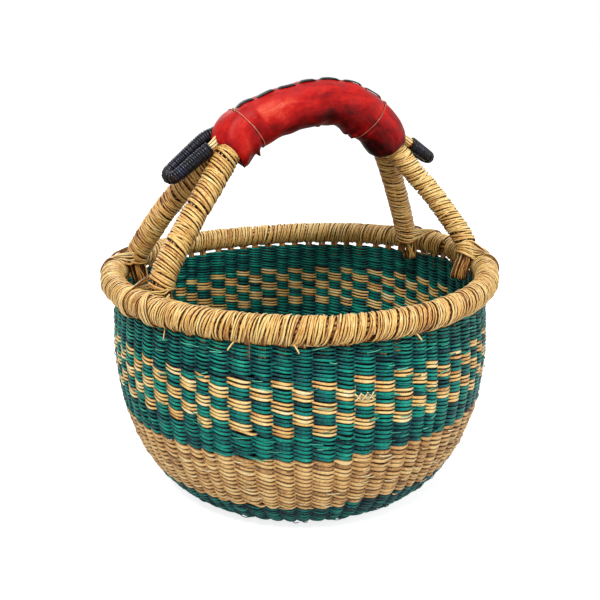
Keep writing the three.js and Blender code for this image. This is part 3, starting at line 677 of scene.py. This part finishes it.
def coil(into, line, high, radius, slant, shade, tone):
    """Strands wound side by side round a line, from its start to a run of it, and short stray ones over them.

    slant tips the turns to one side, and shade is the strength of the painted shade on their left and the
    painted light on their right."""
    turns, tau, own, strands = turns_along(high, COIL_HALF_WIDTH, spread=0.2, starts=3, samples=14)
    for share, half_width in strands:
        run = np.clip(high * share + 0.8 * crossings(turns, tau), 0, high)
        _, out = round_line(line, run, -TURN * tau)
        run = np.clip(run + slant * (out @ VIEW_RIGHT), 0, high)
        point, out = round_line(line, run, -TURN * tau)
        rise = 0.3 * crossings(turns, tau) - 0.25
        # Turns that sink are painted darker and turns that stand proud paler, as painted shade and painted
        # light
        tones = tone + 0.06 * rng.normal(size=turns)[own] + 0.04 * rng.normal() + 0.22 * rise
        # Painted shade on the side of each turn that faces left, and painted light on the side that faces
        # right
        into.add(
            point + out * (radius - COIL_THICKNESS + rise)[:, None], out, half_width, COIL_THICKNESS,
            tones + shade * (out @ VIEW_RIGHT),
        )
    share = np.linspace(0, 1, 12)
    proud = radius - COIL_THICKNESS - 1.3 + 1.6 * np.sin(np.pi * share) ** 0.5
    for start in rng.uniform(8, high - 8, int(high / 7)):
        run = start + rng.uniform(-1, 1.6) * (share - 0.5)
        point, out = round_line(line, run, rng.uniform(0, TURN) - TURN * rng.uniform(0.35, 0.7) * share)
        into.add(
            point + out * proud[:, None], out, COIL_HALF_WIDTH * 0.85, COIL_THICKNESS * 0.85,
            tone + 0.03 + 0.06 * rng.normal(),
        )


for name, leg in LEGS.items():
    wrap = Strands()
    wound_to = leg["line"].length - WOUND_END
    coil(wrap, leg["line"], wound_to, leg["wound"], leg["slant"], leg["shade"], leg["tone"])
    piece(wrap.mesh("leg_winding_" + name), NATURAL, "straw_natural", "leg_wrap_" + name)


# Hoops
LEG_STRAWS, GRIP_STRAWS, CORE_STRAWS = 24, 16, 5
PARTING = 4  # how far before the bare length the straws start to part


def bundle(into, line, low, high, radius, straws, bare=0.0):
    """Straws that lie side by side round a line, and part a little over the bare length at its end."""
    run = np.linspace(low, high - bare, 24)
    loose = np.zeros(len(run))
    if bare:
        run = np.concatenate([run, np.linspace(high - bare, high, 7)[1:]])
        loose = np.clip((run - high + bare + PARTING) / (bare + PARTING), 0, 1)
    point, side, up = frame_along(line, run)
    ring_straws = straws - CORE_STRAWS
    for count, share in ((ring_straws, 0.78), (CORE_STRAWS, 0.3)):
        for k in range(count):
            out = spun(side, up, TURN * k / count + 0.4 * np.sin(run / 30 + k) + 0.5 * loose * rng.normal())
            half = radius * 2.6 / ring_straws * (1 - 0.25 * loose * rng.random())
            away = radius * share * (1 - 0.2 * loose + 0.12 * loose * rng.normal())
            tones = 0.42 + 0.12 * rng.normal() - 0.14 * loose
            into.add(point + out * away[:, None], out, half, half, tones, sides=7)


for hoop, side in (("front", -1), ("rear", 1)):
    core = Strands()
    for leg in LEGS.values():
        if leg["side"] == side:
            tip_run, inner = leg["line"].length - BARE_END, leg["wound"] - 2.1
            bundle(core, leg["line"], 0, tip_run, inner, LEG_STRAWS, WOUND_END - BARE_END)
    inside = Line(grip.points + (0, side * HOOP_OFFSET, 0))
    bundle(core, inside, OVERHANG, grip.length - OVERHANG, HOOP_RADIUS, GRIP_STRAWS)
    piece(core.mesh("hoop_straws_" + hoop), NATURAL, "straw_natural", "hoop_core_" + hoop)


# Rim
RIM_HALF_WIDTH, RIM_THICKNESS, RIM_SAMPLES = 0.98, 1.15, 14
PASSING = 0.24  # the share of a turn, to either side, for which a strand counts as below the rim
RIM_ENDS = ((-150, 4), (-129, -5), (-115.5, 6), (-84, 4))  # loose ends below the rim: degrees, drift
NECK_SHIFTS = (-3.4, -1.2, 1.1, 3.2)


def on_rim(around, roll, proud, sag=0.0):
    """A point on the rim's section. A roll of zero is below, and a quarter of a turn is outside."""
    height = RIM_HEIGHT - np.cos(roll) * (WRAP_HALF_HEIGHT + proud) - WRAP_DROP - sag
    radius = RIM_RADIUS + np.sin(roll) * (WRAP_HALF_WIDTH + proud)
    return turned(radius, height + lift(around, RIM_HEIGHT), around)


def rim_strands(into):
    """Strands wound side by side round the rim, which gather in the windows between the stakes below it."""
    turns, tau, own, strands = turns_along(
        TURN * RIM_RADIUS, RIM_HALF_WIDTH, spread=0.22, starts=8, samples=RIM_SAMPLES
    )
    roll = TURN * tau
    nearest = np.round(tau).astype(int)
    below = np.clip(1 - np.abs(tau - nearest) / PASSING, 0, 1)
    below = below**2 * (3 - 2 * below)
    for share, half_width in strands:
        around = share * TURN
        passes = around[np.minimum(nearest * RIM_SAMPLES, len(tau) - 1)]
        columns = column_at(np.mod(passes + np.pi, TURN) - np.pi, COLUMNS)
        window = np.floor(columns) + 0.5
        around = around + below * (window - columns) * TURN / COLUMNS * 0.3
        around = around + 0.75 * crossings(turns, tau) * (1 - below) / RIM_RADIUS
        rise = 0.45 * crossings(turns, tau) - 0.3 + 0.35 * np.sin(around * 23) * np.clip(np.sin(roll), 0, 1)
        sag = 0.35 * np.abs(rng.normal(size=turns + 1))[nearest] * below
        # Painted shade where a strand passes below the rim, and painted shade on sunken turns with painted
        # light on proud ones
        tones = 0.57 + 0.05 * rng.normal(size=turns)[own] + 0.04 * rng.normal() - 0.06 * below + 0.22 * rise
        # The last tone term is painted light towards the rear of the rim and painted shade towards the front
        into.add(
            on_rim(around, roll, rise - RIM_THICKNESS, sag),
            turned(np.sin(roll) * WRAP_HALF_HEIGHT, -np.cos(roll) * WRAP_HALF_WIDTH, around),
            half_width * (1 - 0.1 * below), RIM_THICKNESS, tones - 0.05 * np.cos(around - FRONT_ANGLE),
        )


def rim_strays(into):
    """Short strands that cross the others on top of the rim, and loose ends below it."""
    share = np.linspace(0, 1, 12)
    proud = 1.7 * np.sin(np.pi * share) ** 0.5 - RIM_THICKNESS - 1.3
    for start in rng.uniform(0, TURN, 150):
        angle = start - rng.uniform(0, 7) * (share - 0.5) / RIM_RADIUS
        roll = -(np.pi + rng.uniform(-0.9, 0.9) + TURN * rng.uniform(0.3, 0.5) * (share - 0.5))
        tone = 0.6 + 0.06 * rng.normal()
        into.add(on_rim(angle, roll, proud), turned(np.sin(roll), -np.cos(roll), angle), 1.0, 0.85, tone)
    share = np.linspace(0, 1, 6)
    for at, drift in RIM_ENDS:
        angle = np.radians(at) + drift * share / RIM_RADIUS
        end = turned(RIM_RADIUS + 3 + 7 * share, RIM_HEIGHT - WRAP_HALF_HEIGHT + 1 - 7 * share**1.5, angle)
        into.add(end, turned(1, 0, angle), 0.8, 0.6, 0.7)


def rim_bundle(into):
    """The straws inside the rim: a ring of them, and one in the middle."""
    around = np.linspace(0, TURN, 273)
    for k in range(BUNDLE_STRAWS + 1):
        angle = TURN * k / BUNDLE_STRAWS + around * 2
        spoke = 0 if k == BUNDLE_STRAWS else BUNDLE_RADIUS * 0.66
        height = RIM_HEIGHT + spoke * np.sin(angle) + lift(around, RIM_HEIGHT)
        into.add(
            turned(RIM_RADIUS + spoke * np.cos(angle), height, around),
            turned(np.cos(angle), np.sin(angle), around), 2.4, 2.4, 0.45 + 0.1 * rng.normal(), sides=7,
        )


def stake_necks(into):
    """The straws of each stake, which run from inside the wall's top up into the rim."""
    run = wall_top - np.array([11, 7, 3])
    radii = np.array([WALL_TOP_RADIUS - 3.4, WALL_TOP_RADIUS - 2.6, RIM_RADIUS - 1])
    heights = np.array([WALL_TOP + 3, RIM_HEIGHT - 10, RIM_HEIGHT - 2])
    for angle in column_angles(COLUMNS):
        for shift in NECK_SHIFTS:
            lean = (shift + 0.5 * rng.normal()) / RIM_RADIUS
            low_part, _ = wall(run, 0.0, np.full(3, angle + lean * 0.6))
            neck = turned(radii, heights + lift(angle, RIM_HEIGHT), np.full(3, angle + lean * 0.8))
            path = through(np.vstack([low_part, neck]), 5)
            # The necks' low tone is painted shade under the rim
            into.add(path, outwards(angle), 1.4, 1.3, 0.22 + 0.12 * rng.normal(), sides=6)


rim_wrap, stakes = Strands(), Strands()
rim_strands(rim_wrap)
rim_strays(rim_wrap)
piece(rim_wrap.mesh("rim_winding"), NATURAL, "straw_natural", "rim_wrap")
rim_bundle(stakes)
stake_necks(stakes)
piece(stakes.mesh("stakes"), NATURAL, "straw_natural", "rim_stakes")


# Lashings
TIES, TIE_SPACING, TIE_TOP, TIE_STEP = 6, 1.9, 19, 2.3
TIE_HALF_WIDTH, TIE_THICKNESS = 0.95, 1.0
HELD_POINTS = 20  # a leg's line only falls after them

# Where a strand goes over the rim and under it: degrees round its section, and the room to the leg
OVER_RIM = [(72, -0.6), (40, 0.6), (5, 1.8), (-50, 2), (-100, 1)]


def lashing(into, leg):
    """Strands from one flank of a leg's winding, round the rim behind the foot, to the other flank."""
    outward = outwards(leg["foot"])
    along = np.cross((0, 0, 1), outward)
    rim_z = RIM_HEIGHT + lift(leg["foot"], RIM_HEIGHT) - WRAP_DROP
    line, wound = leg["line"], leg["wound"]

    def on_leg(height, degrees, inset):
        """A place on the leg over the rim's middle, from one flank round its inner side to the other."""
        run = np.interp(-(rim_z + height), -line.points[HELD_POINTS:, 2], line.run[HELD_POINTS:])
        point, tangent = line.at(run), line.tangent(run)
        flank = unit(along - tangent * np.dot(along, tangent))
        within = np.cross(tangent, flank)
        within = -within if np.dot(within, outward) > 0 else within
        way = flank * np.cos(np.radians(degrees)) + within * np.sin(np.radians(degrees))
        return point + way * (wound - inset + TIE_THICKNESS), way

    def over_rim(place, away, side, shift):
        """A place over the rim or under it, beside the leg."""
        sideways = side * (wound + away + shift * min(0.45 + away / 5, 1))
        ring = np.sqrt(RIM_RADIUS**2 - sideways**2)
        place = np.radians(place)
        clear = TIE_THICKNESS + 0.2 + 0.4 * rng.random()
        point = outward * (ring + (WRAP_HALF_WIDTH + clear) * np.cos(place)) + along * sideways
        point = point + (0, 0, rim_z + (WRAP_HALF_HEIGHT + clear) * np.sin(place))
        return point, outward * np.cos(place) + np.array([0, 0, np.sin(place)])

    for turn in range(TIES):
        shift = turn * TIE_SPACING + 0.6 * rng.normal()
        top = TIE_TOP - TIE_STEP * turn + 0.8 * rng.normal()
        near_top = top - leg["low"]
        path, hints = zip(
            on_leg(near_top + 2, 5, 3),
            on_leg(near_top, -25, 1),
            *[over_rim(*stop, 1, shift) for stop in OVER_RIM],
            *[over_rim(*stop, -1, shift) for stop in OVER_RIM[::-1]],
            on_leg(top, 205, 1),
            on_leg(top + 2, 175, 3),
        )
        dense, hint = through(path, 6), through(hints, 6)
        place = np.arange(len(dense))
        tones = 0.58 + 0.13 * rng.normal() + 0.05 * np.sin(place / 7 + turn)
        into.add(dense, hint, TIE_HALF_WIDTH * (1 + 0.1 * np.sin(place / 9)), TIE_THICKNESS, tones)


for name, leg in LEGS.items():
    ties = Strands()
    lashing(ties, leg)
    piece(ties.mesh("foot_ties_" + name), NATURAL, "straw_natural", "foot_lashing_" + name)


# Ears
EAR_OFFSET = EAR_RADIUS + EAR_SLIT / 2
EAR_FULLNESS = (1.18, 1.12, 1)  # how far apart the branches are on their way to the bend
EAR_HALF_WIDTH, EAR_THICKNESS, EAR_STRAWS = 1.3, 1.1, 9


def ear_loop(end, length, droop, tilt):
    """The ear's line out of the grip and back, the direction across its plane, and its hidden length."""
    def risen(run):
        point, _, up = frame_along(grip, np.array([run if end < 0 else grip.length - run]))
        return (point + up * np.sign(up[:, 2:]) * EAR_RISE)[0]

    heading = np.array([end * np.cos(droop), 0, -np.sin(droop)])
    upright = np.array([end * np.sin(droop), 0, np.cos(droop)])
    sideways = np.array([0, 1, 0])
    across = sideways * np.cos(tilt) + upright * np.sin(tilt)
    square = upright * np.cos(tilt) - sideways * np.sin(tilt)
    root = risen(0)
    bend = root + heading * (length - EAR_OFFSET - EAR_RADIUS)
    held = [risen(OVERHANG + EAR_TAIL), risen(OVERHANG), root]
    free = [root + heading * EAR_BARE, (root + bend) / 2 + heading * 4, bend]
    branches = [
        [p + offset * sideways for p in held] + [p + offset * w * across for p, w in zip(free, EAR_FULLNESS)]
        for offset in (-EAR_OFFSET, EAR_OFFSET)
    ]
    tip = [
        bend + heading * EAR_OFFSET * np.sin(a) - across * EAR_OFFSET * np.cos(a)
        for a in np.radians((30, 60, 90, 120, 150))
    ]
    hidden = np.linalg.norm(held[0] - held[1]) + np.linalg.norm(held[1] - root)
    return Line(through([*branches[0], *tip, *branches[1][::-1]], 16)), square, hidden


def ear(name, end, length, droop, tilt, bare):
    """A bent bundle with a black winding, whose straws show over the bare length beside the grip."""
    loop, square, hidden = ear_loop(end, length, np.radians(droop), np.radians(tilt))
    low, high = hidden + bare, loop.length - hidden + 2

    def frame_of(run):
        tangent = loop.tangent(run)
        up = unit(square - tangent * (tangent @ square)[:, None])
        return loop.at(run), np.cross(up, tangent), up

    turns, tau, own, [(share, half_width)] = turns_along(
        high - low, EAR_HALF_WIDTH, spread=0.1, starts=1, samples=12, overlap=0.86
    )
    run = low + (high - low) * share + 0.25 * crossings(turns, tau)
    point, side, up = frame_of(run)
    way = spun(side, up, TURN * tau)
    from_bend = np.abs(run - loop.length / 2)
    radius = (EAR_RADIUS + 0.7) * (1 + 0.13 * np.clip((from_bend - 10) / 25, 0, 1)) - EAR_THICKNESS
    tones = 0.45 + 0.2 * rng.normal(size=turns)[own]
    winding, straws = Strands(), Strands()
    winding.add(point + way * radius[:, None], way, half_width * 0.97, EAR_THICKNESS, tones)
    piece(winding.mesh("ear_winding_" + name), BLACK, "straw_black", "ear_wrap_" + name)
    run = np.linspace(0, loop.length, 60)
    point, side, up = frame_of(run)
    for k in range(EAR_STRAWS):
        way = spun(side, up, TURN * k / EAR_STRAWS + run / 40)
        # Under the winding the straws are dark as painted shade for its gaps, and so is the middle straw
        tones = np.where((run < low) | (run > high), 0.66 + 0.12 * rng.normal(), -0.4)
        straws.add(point + way * 3, way, 1.5, 1.5, tones, sides=7)
    straws.add(point, up, 2.1, 2.1, 0.0)
    piece(straws.mesh("ear_straws_" + name), NATURAL, "straw_natural", "ear_core_" + name)


ear("left", end=-1, length=65, droop=37, tilt=22, bare=17)
ear("right", end=1, length=46, droop=33, tilt=0, bare=12)


# Grip
THREADS = (0.152, 0.82)
LOBE_ANGLE, HOLLOW_ANGLE = np.radians(238), 2.9  # where the left mouth reaches furthest out and furthest in
STITCHES, LACE_START, LACE_END, LACE_ANGLE = 7, 0.137, 0.81, np.radians(103)
SIDES, OUTER_ROWS, INNER_ROWS = 96, 180, 58

# The sleeve hangs a little at its left end
sleeve = Line(through(above_rim([(-0.392, 0.728), (-0.318, 0.832), *GRIP_SHARES[2:]]), 60))

# Swellings of the sleeve, and corners of its cut edge: height, share of the length, angle, and reach of both
SWELLINGS = (
    (3.6, 0.13, 115, 0.09, 50), (3.4, 0.78, 265, 0.09, 50), (-2.2, 0.98, 255, 0.09, 50),
    (5, 0.112, 256, 0.018, 13), (4.2, 0.705, 252, 0.026, 18),
    (3.8, 0.77, 256, 0.014, 11), (1.3, 0.5, 258, 0.012, 10),
)


def hill(distance, reach):
    return np.exp(-((distance / reach) ** 2))


def grip_skin(share, around, inset=0.0):
    """A point of the leather, at a share of the grip's length and an angle round it."""
    run = share * sleeve.length
    point, side, up = frame_along(sleeve, run)
    lobe = 2.4 * hill(around - LOBE_ANGLE, 0.5) - 3.2 * hill(around - HOLLOW_ANGLE, 0.6)
    lobe = lobe * np.exp(-run / 9)
    point = point - sleeve.tangent(run) * lobe[..., None]
    from_end = np.minimum(run, sleeve.length - run)
    flare = FLARE - 1.8 * hill(from_end, 2.2) + 0.5 * hill(from_end - 10, 7)
    waist = sum(1.1 * hill((share - place) * sleeve.length, 3.2) for place in THREADS)
    folds = 0.45 * np.sin(7 * around + 26 * share + 2 * np.sin(9 * share)) * np.exp(-from_end / 40)
    folds += 0.35 * np.sin(3 * around - 34 * share) + 0.3 * np.sin(52 * share + 2 * around)
    scallop = 0.8 * np.sin(2 * around + 0.7) * np.exp(-from_end / 7)
    grown = flare - waist + folds + scallop - inset - 0.5
    for size, place, facing, long, wide in SWELLINGS:
        turn = np.mod(np.degrees(around) - facing + 180, 360) - 180
        grown = grown + size * hill(share - place, long) * hill(turn, wide)
    wide = (GRIP_HALF_WIDTH + grown) * np.cos(around)
    high = (GRIP_HALF_HEIGHT + grown) * np.sin(around)
    return point + side * wide[..., None] + up * high[..., None]


def sheet_mesh(name, rings, run_map, round_map, tones):
    """A closed surface over rings that run back to the first one."""
    rows, sides = rings.shape[:2]
    quad_i, quad_j = quads(rows, sides)
    corners = ((quad_i % rows) * sides + quad_j % sides).ravel()
    places = np.stack([run_map[quad_i], round_map[quad_j]], -1).reshape(-1, 2)
    sizes = np.full(len(quad_i), 4)
    return new_mesh(name, rings.reshape(-1, 3) * MM, corners, sizes, tones.ravel(), {"Strand": places})


def leather_tones(share, facing):
    """Worn and pale, with a painted highlight, in front at the left end, and darker below with dirt and
    painted shade, at the right end and in a patch in front.
    """
    # The pale front mask is wear together with a painted highlight
    wear_and_highlight = np.clip((share - 0.19) * 60, 0, 1) * hill(share - 0.24, 0.13) * hill(facing - 150, 26)
    wear_and_highlight = wear_and_highlight + 0.5 * hill(share - 0.09, 0.045) * hill(facing - 190, 28)
    # The mask below is dirt together with painted shade, and it also darkens the right end
    under = hill(facing - 262, 52) + 0.9 * np.clip((share - 0.8) * 6, 0, 1)
    patch = hill(share - 0.6, 0.13) * hill(facing - 205, 26)
    return 0.48 + 0.36 * wear_and_highlight - 0.26 * under - 0.24 * patch


def grip_cover():
    """The sleeve's outer side from end to end, and its inner side back again."""
    share = np.concatenate([np.linspace(0, 1, OUTER_ROWS), np.linspace(1, 0, INNER_ROWS + 2)[1:-1]])
    inset = np.concatenate([np.zeros(OUTER_ROWS), np.full(INNER_ROWS, LEATHER)])
    around = np.arange(SIDES) / SIDES * TURN
    share_grid, around_grid = np.meshgrid(share, around, indexing="ij")
    skin = grip_skin(share_grid, around_grid, inset[:, None])
    tones = leather_tones(share_grid, np.degrees(around_grid))
    run_map = np.append(share, 0) * sleeve.length * MM
    return sheet_mesh("grip_cover", skin[:, ::-1], run_map, np.arange(SIDES + 1) / SIDES, tones[:, ::-1])


def grip_filling():
    """A plain roll inside the leather."""
    filling = Strands()
    inset = LEATHER + 2.2
    point, _, up = frame_along(grip, np.linspace(OVERHANG, grip.length - OVERHANG, 40))
    filling.add(point, up, GRIP_HALF_WIDTH - inset, GRIP_HALF_HEIGHT - inset, 0.4, sides=40)
    return filling.mesh("grip_stuffing")


def lace():
    """A flat lace along the top of the grip, which dips into the leather between its stitches."""
    count = STITCHES * 12 + 1
    share = np.linspace(LACE_START, LACE_END, count)
    step = np.linspace(0, STITCHES, count) % 1
    proud = np.interp(step, [0, 0.12, 0.22, 0.5, 0.78, 0.88, 1], [-1.6, 0.3, 0.9, 1.0, 0.9, 0.3, -1.6])
    _, side, up = frame_along(sleeve, share * sleeve.length)
    out = unit(up * np.sin(LACE_ANGLE) / GRIP_HALF_HEIGHT + side * np.cos(LACE_ANGLE) / GRIP_HALF_WIDTH)
    path = grip_skin(share, np.full(count, LACE_ANGLE)) + out * proud[:, None]
    strand = Strands()
    strand.add(path, out, 2.9 * (0.72 + 0.28 * np.sin(step * np.pi)), 0.65, 0.5)
    piece(strand.mesh("lace"), LACE, "lace_black", "grip_lacing")


def tie_thread(name, place, tilt, tone):
    """A thread tied round the grip with one and a half turns, and the crossed ends of its knot on top."""
    thread = Strands()

    def lay(share, angle, proud, half_width, half_thickness, own_tone):
        share = share + tilt * np.sin(angle)
        _, side, up = frame_along(sleeve, share * sleeve.length)
        way = spun(side, up, angle)
        path = grip_skin(share, angle) + way * proud[:, None]
        thread.add(path, way, half_width, half_thickness, own_tone, sides=6)

    tau = np.linspace(0, 1.5, 121)
    pitch = 2.6 / sleeve.length
    lay(place + (tau - 0.75) * pitch, TURN * (tau - 0.25), np.full(len(tau), 0.4), 0.48, 0.45, tone)
    along = np.linspace(-1, 1, 9)
    hump = 0.5 + 0.8 * np.cos(along * np.pi / 2)
    across = np.pi / 2 + 0.35 + 0.07 * along
    for slant in (-1.1, 1.1):
        lay(place + slant * along / sleeve.length, across, hump, 0.6, 0.5, tone + 0.1)
    piece(thread.mesh("thread_" + name), THREAD, "thread", "tie_thread_" + name)


leather = piece(grip_cover(), leather_material(), "leather_red", "grip_leather")
stuffing = piece(grip_filling(), DRY, "padding", "grip_padding")
lace()
tie_thread("left", THREADS[0], tilt=-0.017, tone=0.6)
tie_thread("right", THREADS[1] - 0.008, tilt=0.012, tone=0.3)


# Camera
CAMERA_PLACE = (-0.29919, -0.69471, 0.40556)
CAMERA_RIGHT = np.array([0.918446, -0.3955455, 0])
CAMERA_FORWARD = np.array([0.37866, 0.87925, -0.28903])
CAMERA_ROLL, CAMERA_LENS, CAMERA_SENSOR = -0.00998, 47.51, 36


def put(made, axes, place):
    """Puts an object into the scene, at a place and with its own axes."""
    made.matrix_world = Matrix([*[[*row, at] for row, at in zip(np.stack(axes, 1), place)], [0, 0, 0, 1]])
    bpy.context.scene.collection.objects.link(made)


def set_camera():
    above = np.cross(CAMERA_RIGHT, CAMERA_FORWARD)
    cosine, sine = np.cos(CAMERA_ROLL), np.sin(CAMERA_ROLL)
    axes = [CAMERA_RIGHT * cosine + above * sine, above * cosine - CAMERA_RIGHT * sine, -CAMERA_FORWARD]
    data = bpy.data.cameras.new("camera")
    data.lens, data.sensor_width = CAMERA_LENS, CAMERA_SENSOR
    camera = bpy.data.objects.new("camera", data)
    put(camera, axes, CAMERA_PLACE)
    bpy.context.scene.camera = camera
    bpy.context.scene.view_settings.view_transform = "Standard"


# Light
AIMED_AT = np.array([0, 0, 0.18])
LAMPS = {  # place as seen from there, size, power
    "key": ((-0.9, -1.4, 1.9), 0.7, 38),
    "fill": ((1.6, -1.3, 0.8), 1.2, 9),
    "top": ((0.1, -0.3, 2.2), 1.0, 9),
    "back": ((-0.3, 1.9, 1.5), 1.2, 14),
}


def lamp(name, offset, size, power):
    """A round lamp that shines at the middle of the basket."""
    data = bpy.data.lights.new(name, "AREA")
    data.shape, data.size, data.energy = "DISK", size, power
    away = unit(np.array(offset))
    level = unit(np.cross((0, 0, 1), away))
    put(bpy.data.objects.new(name, data), [level, np.cross(away, level), away], AIMED_AT + offset)


def studio():
    """A white world that is full to the eye and in reflections, and weaker as a light."""
    world = bpy.data.worlds.new("studio")
    world.use_nodes = True
    bpy.context.scene.world = world
    tree = world.node_tree
    rays = node(tree, "LightPath", {}).outputs
    seen = math(tree, "MAXIMUM", rays["Is Camera Ray"], rays["Is Glossy Ray"])
    seen = math(tree, "MAXIMUM", seen, rays["Is Transmission Ray"])
    strength = map_range(tree, seen, 0.0, 1.0, 0.36, 1.0)
    feed(tree, tree.nodes["Background"], {"Strength": strength, "Color": (1, 1, 1, 1)})


def studio_floor():
    """A pale floor that nearly fades into the white world."""
    mesh = bpy.data.meshes.new("floor")
    mesh.from_pydata([(-6, -6, 0), (6, -6, 0), (6, 6, 0), (-6, 6, 0)], [], [(0, 1, 2, 3)])
    look, tree, surface = new_material("pale_floor")
    seen = node(tree, "LightPath", {}).outputs["Is Camera Ray"]
    feed(tree, surface, {
        "Base Color": (0.8, 0.8, 0.8, 1), "Roughness": 0.9,
        "Emission Color": (1, 1, 1, 1), "Emission Strength": math(tree, "MULTIPLY", seen, 0.8),
    })
    mesh.materials.append(look)
    floor = bpy.data.objects.new("floor", mesh)
    bpy.context.scene.collection.objects.link(floor)


set_camera()
for name, settings in LAMPS.items():
    lamp(name, *settings)
studio()
studio_floor()
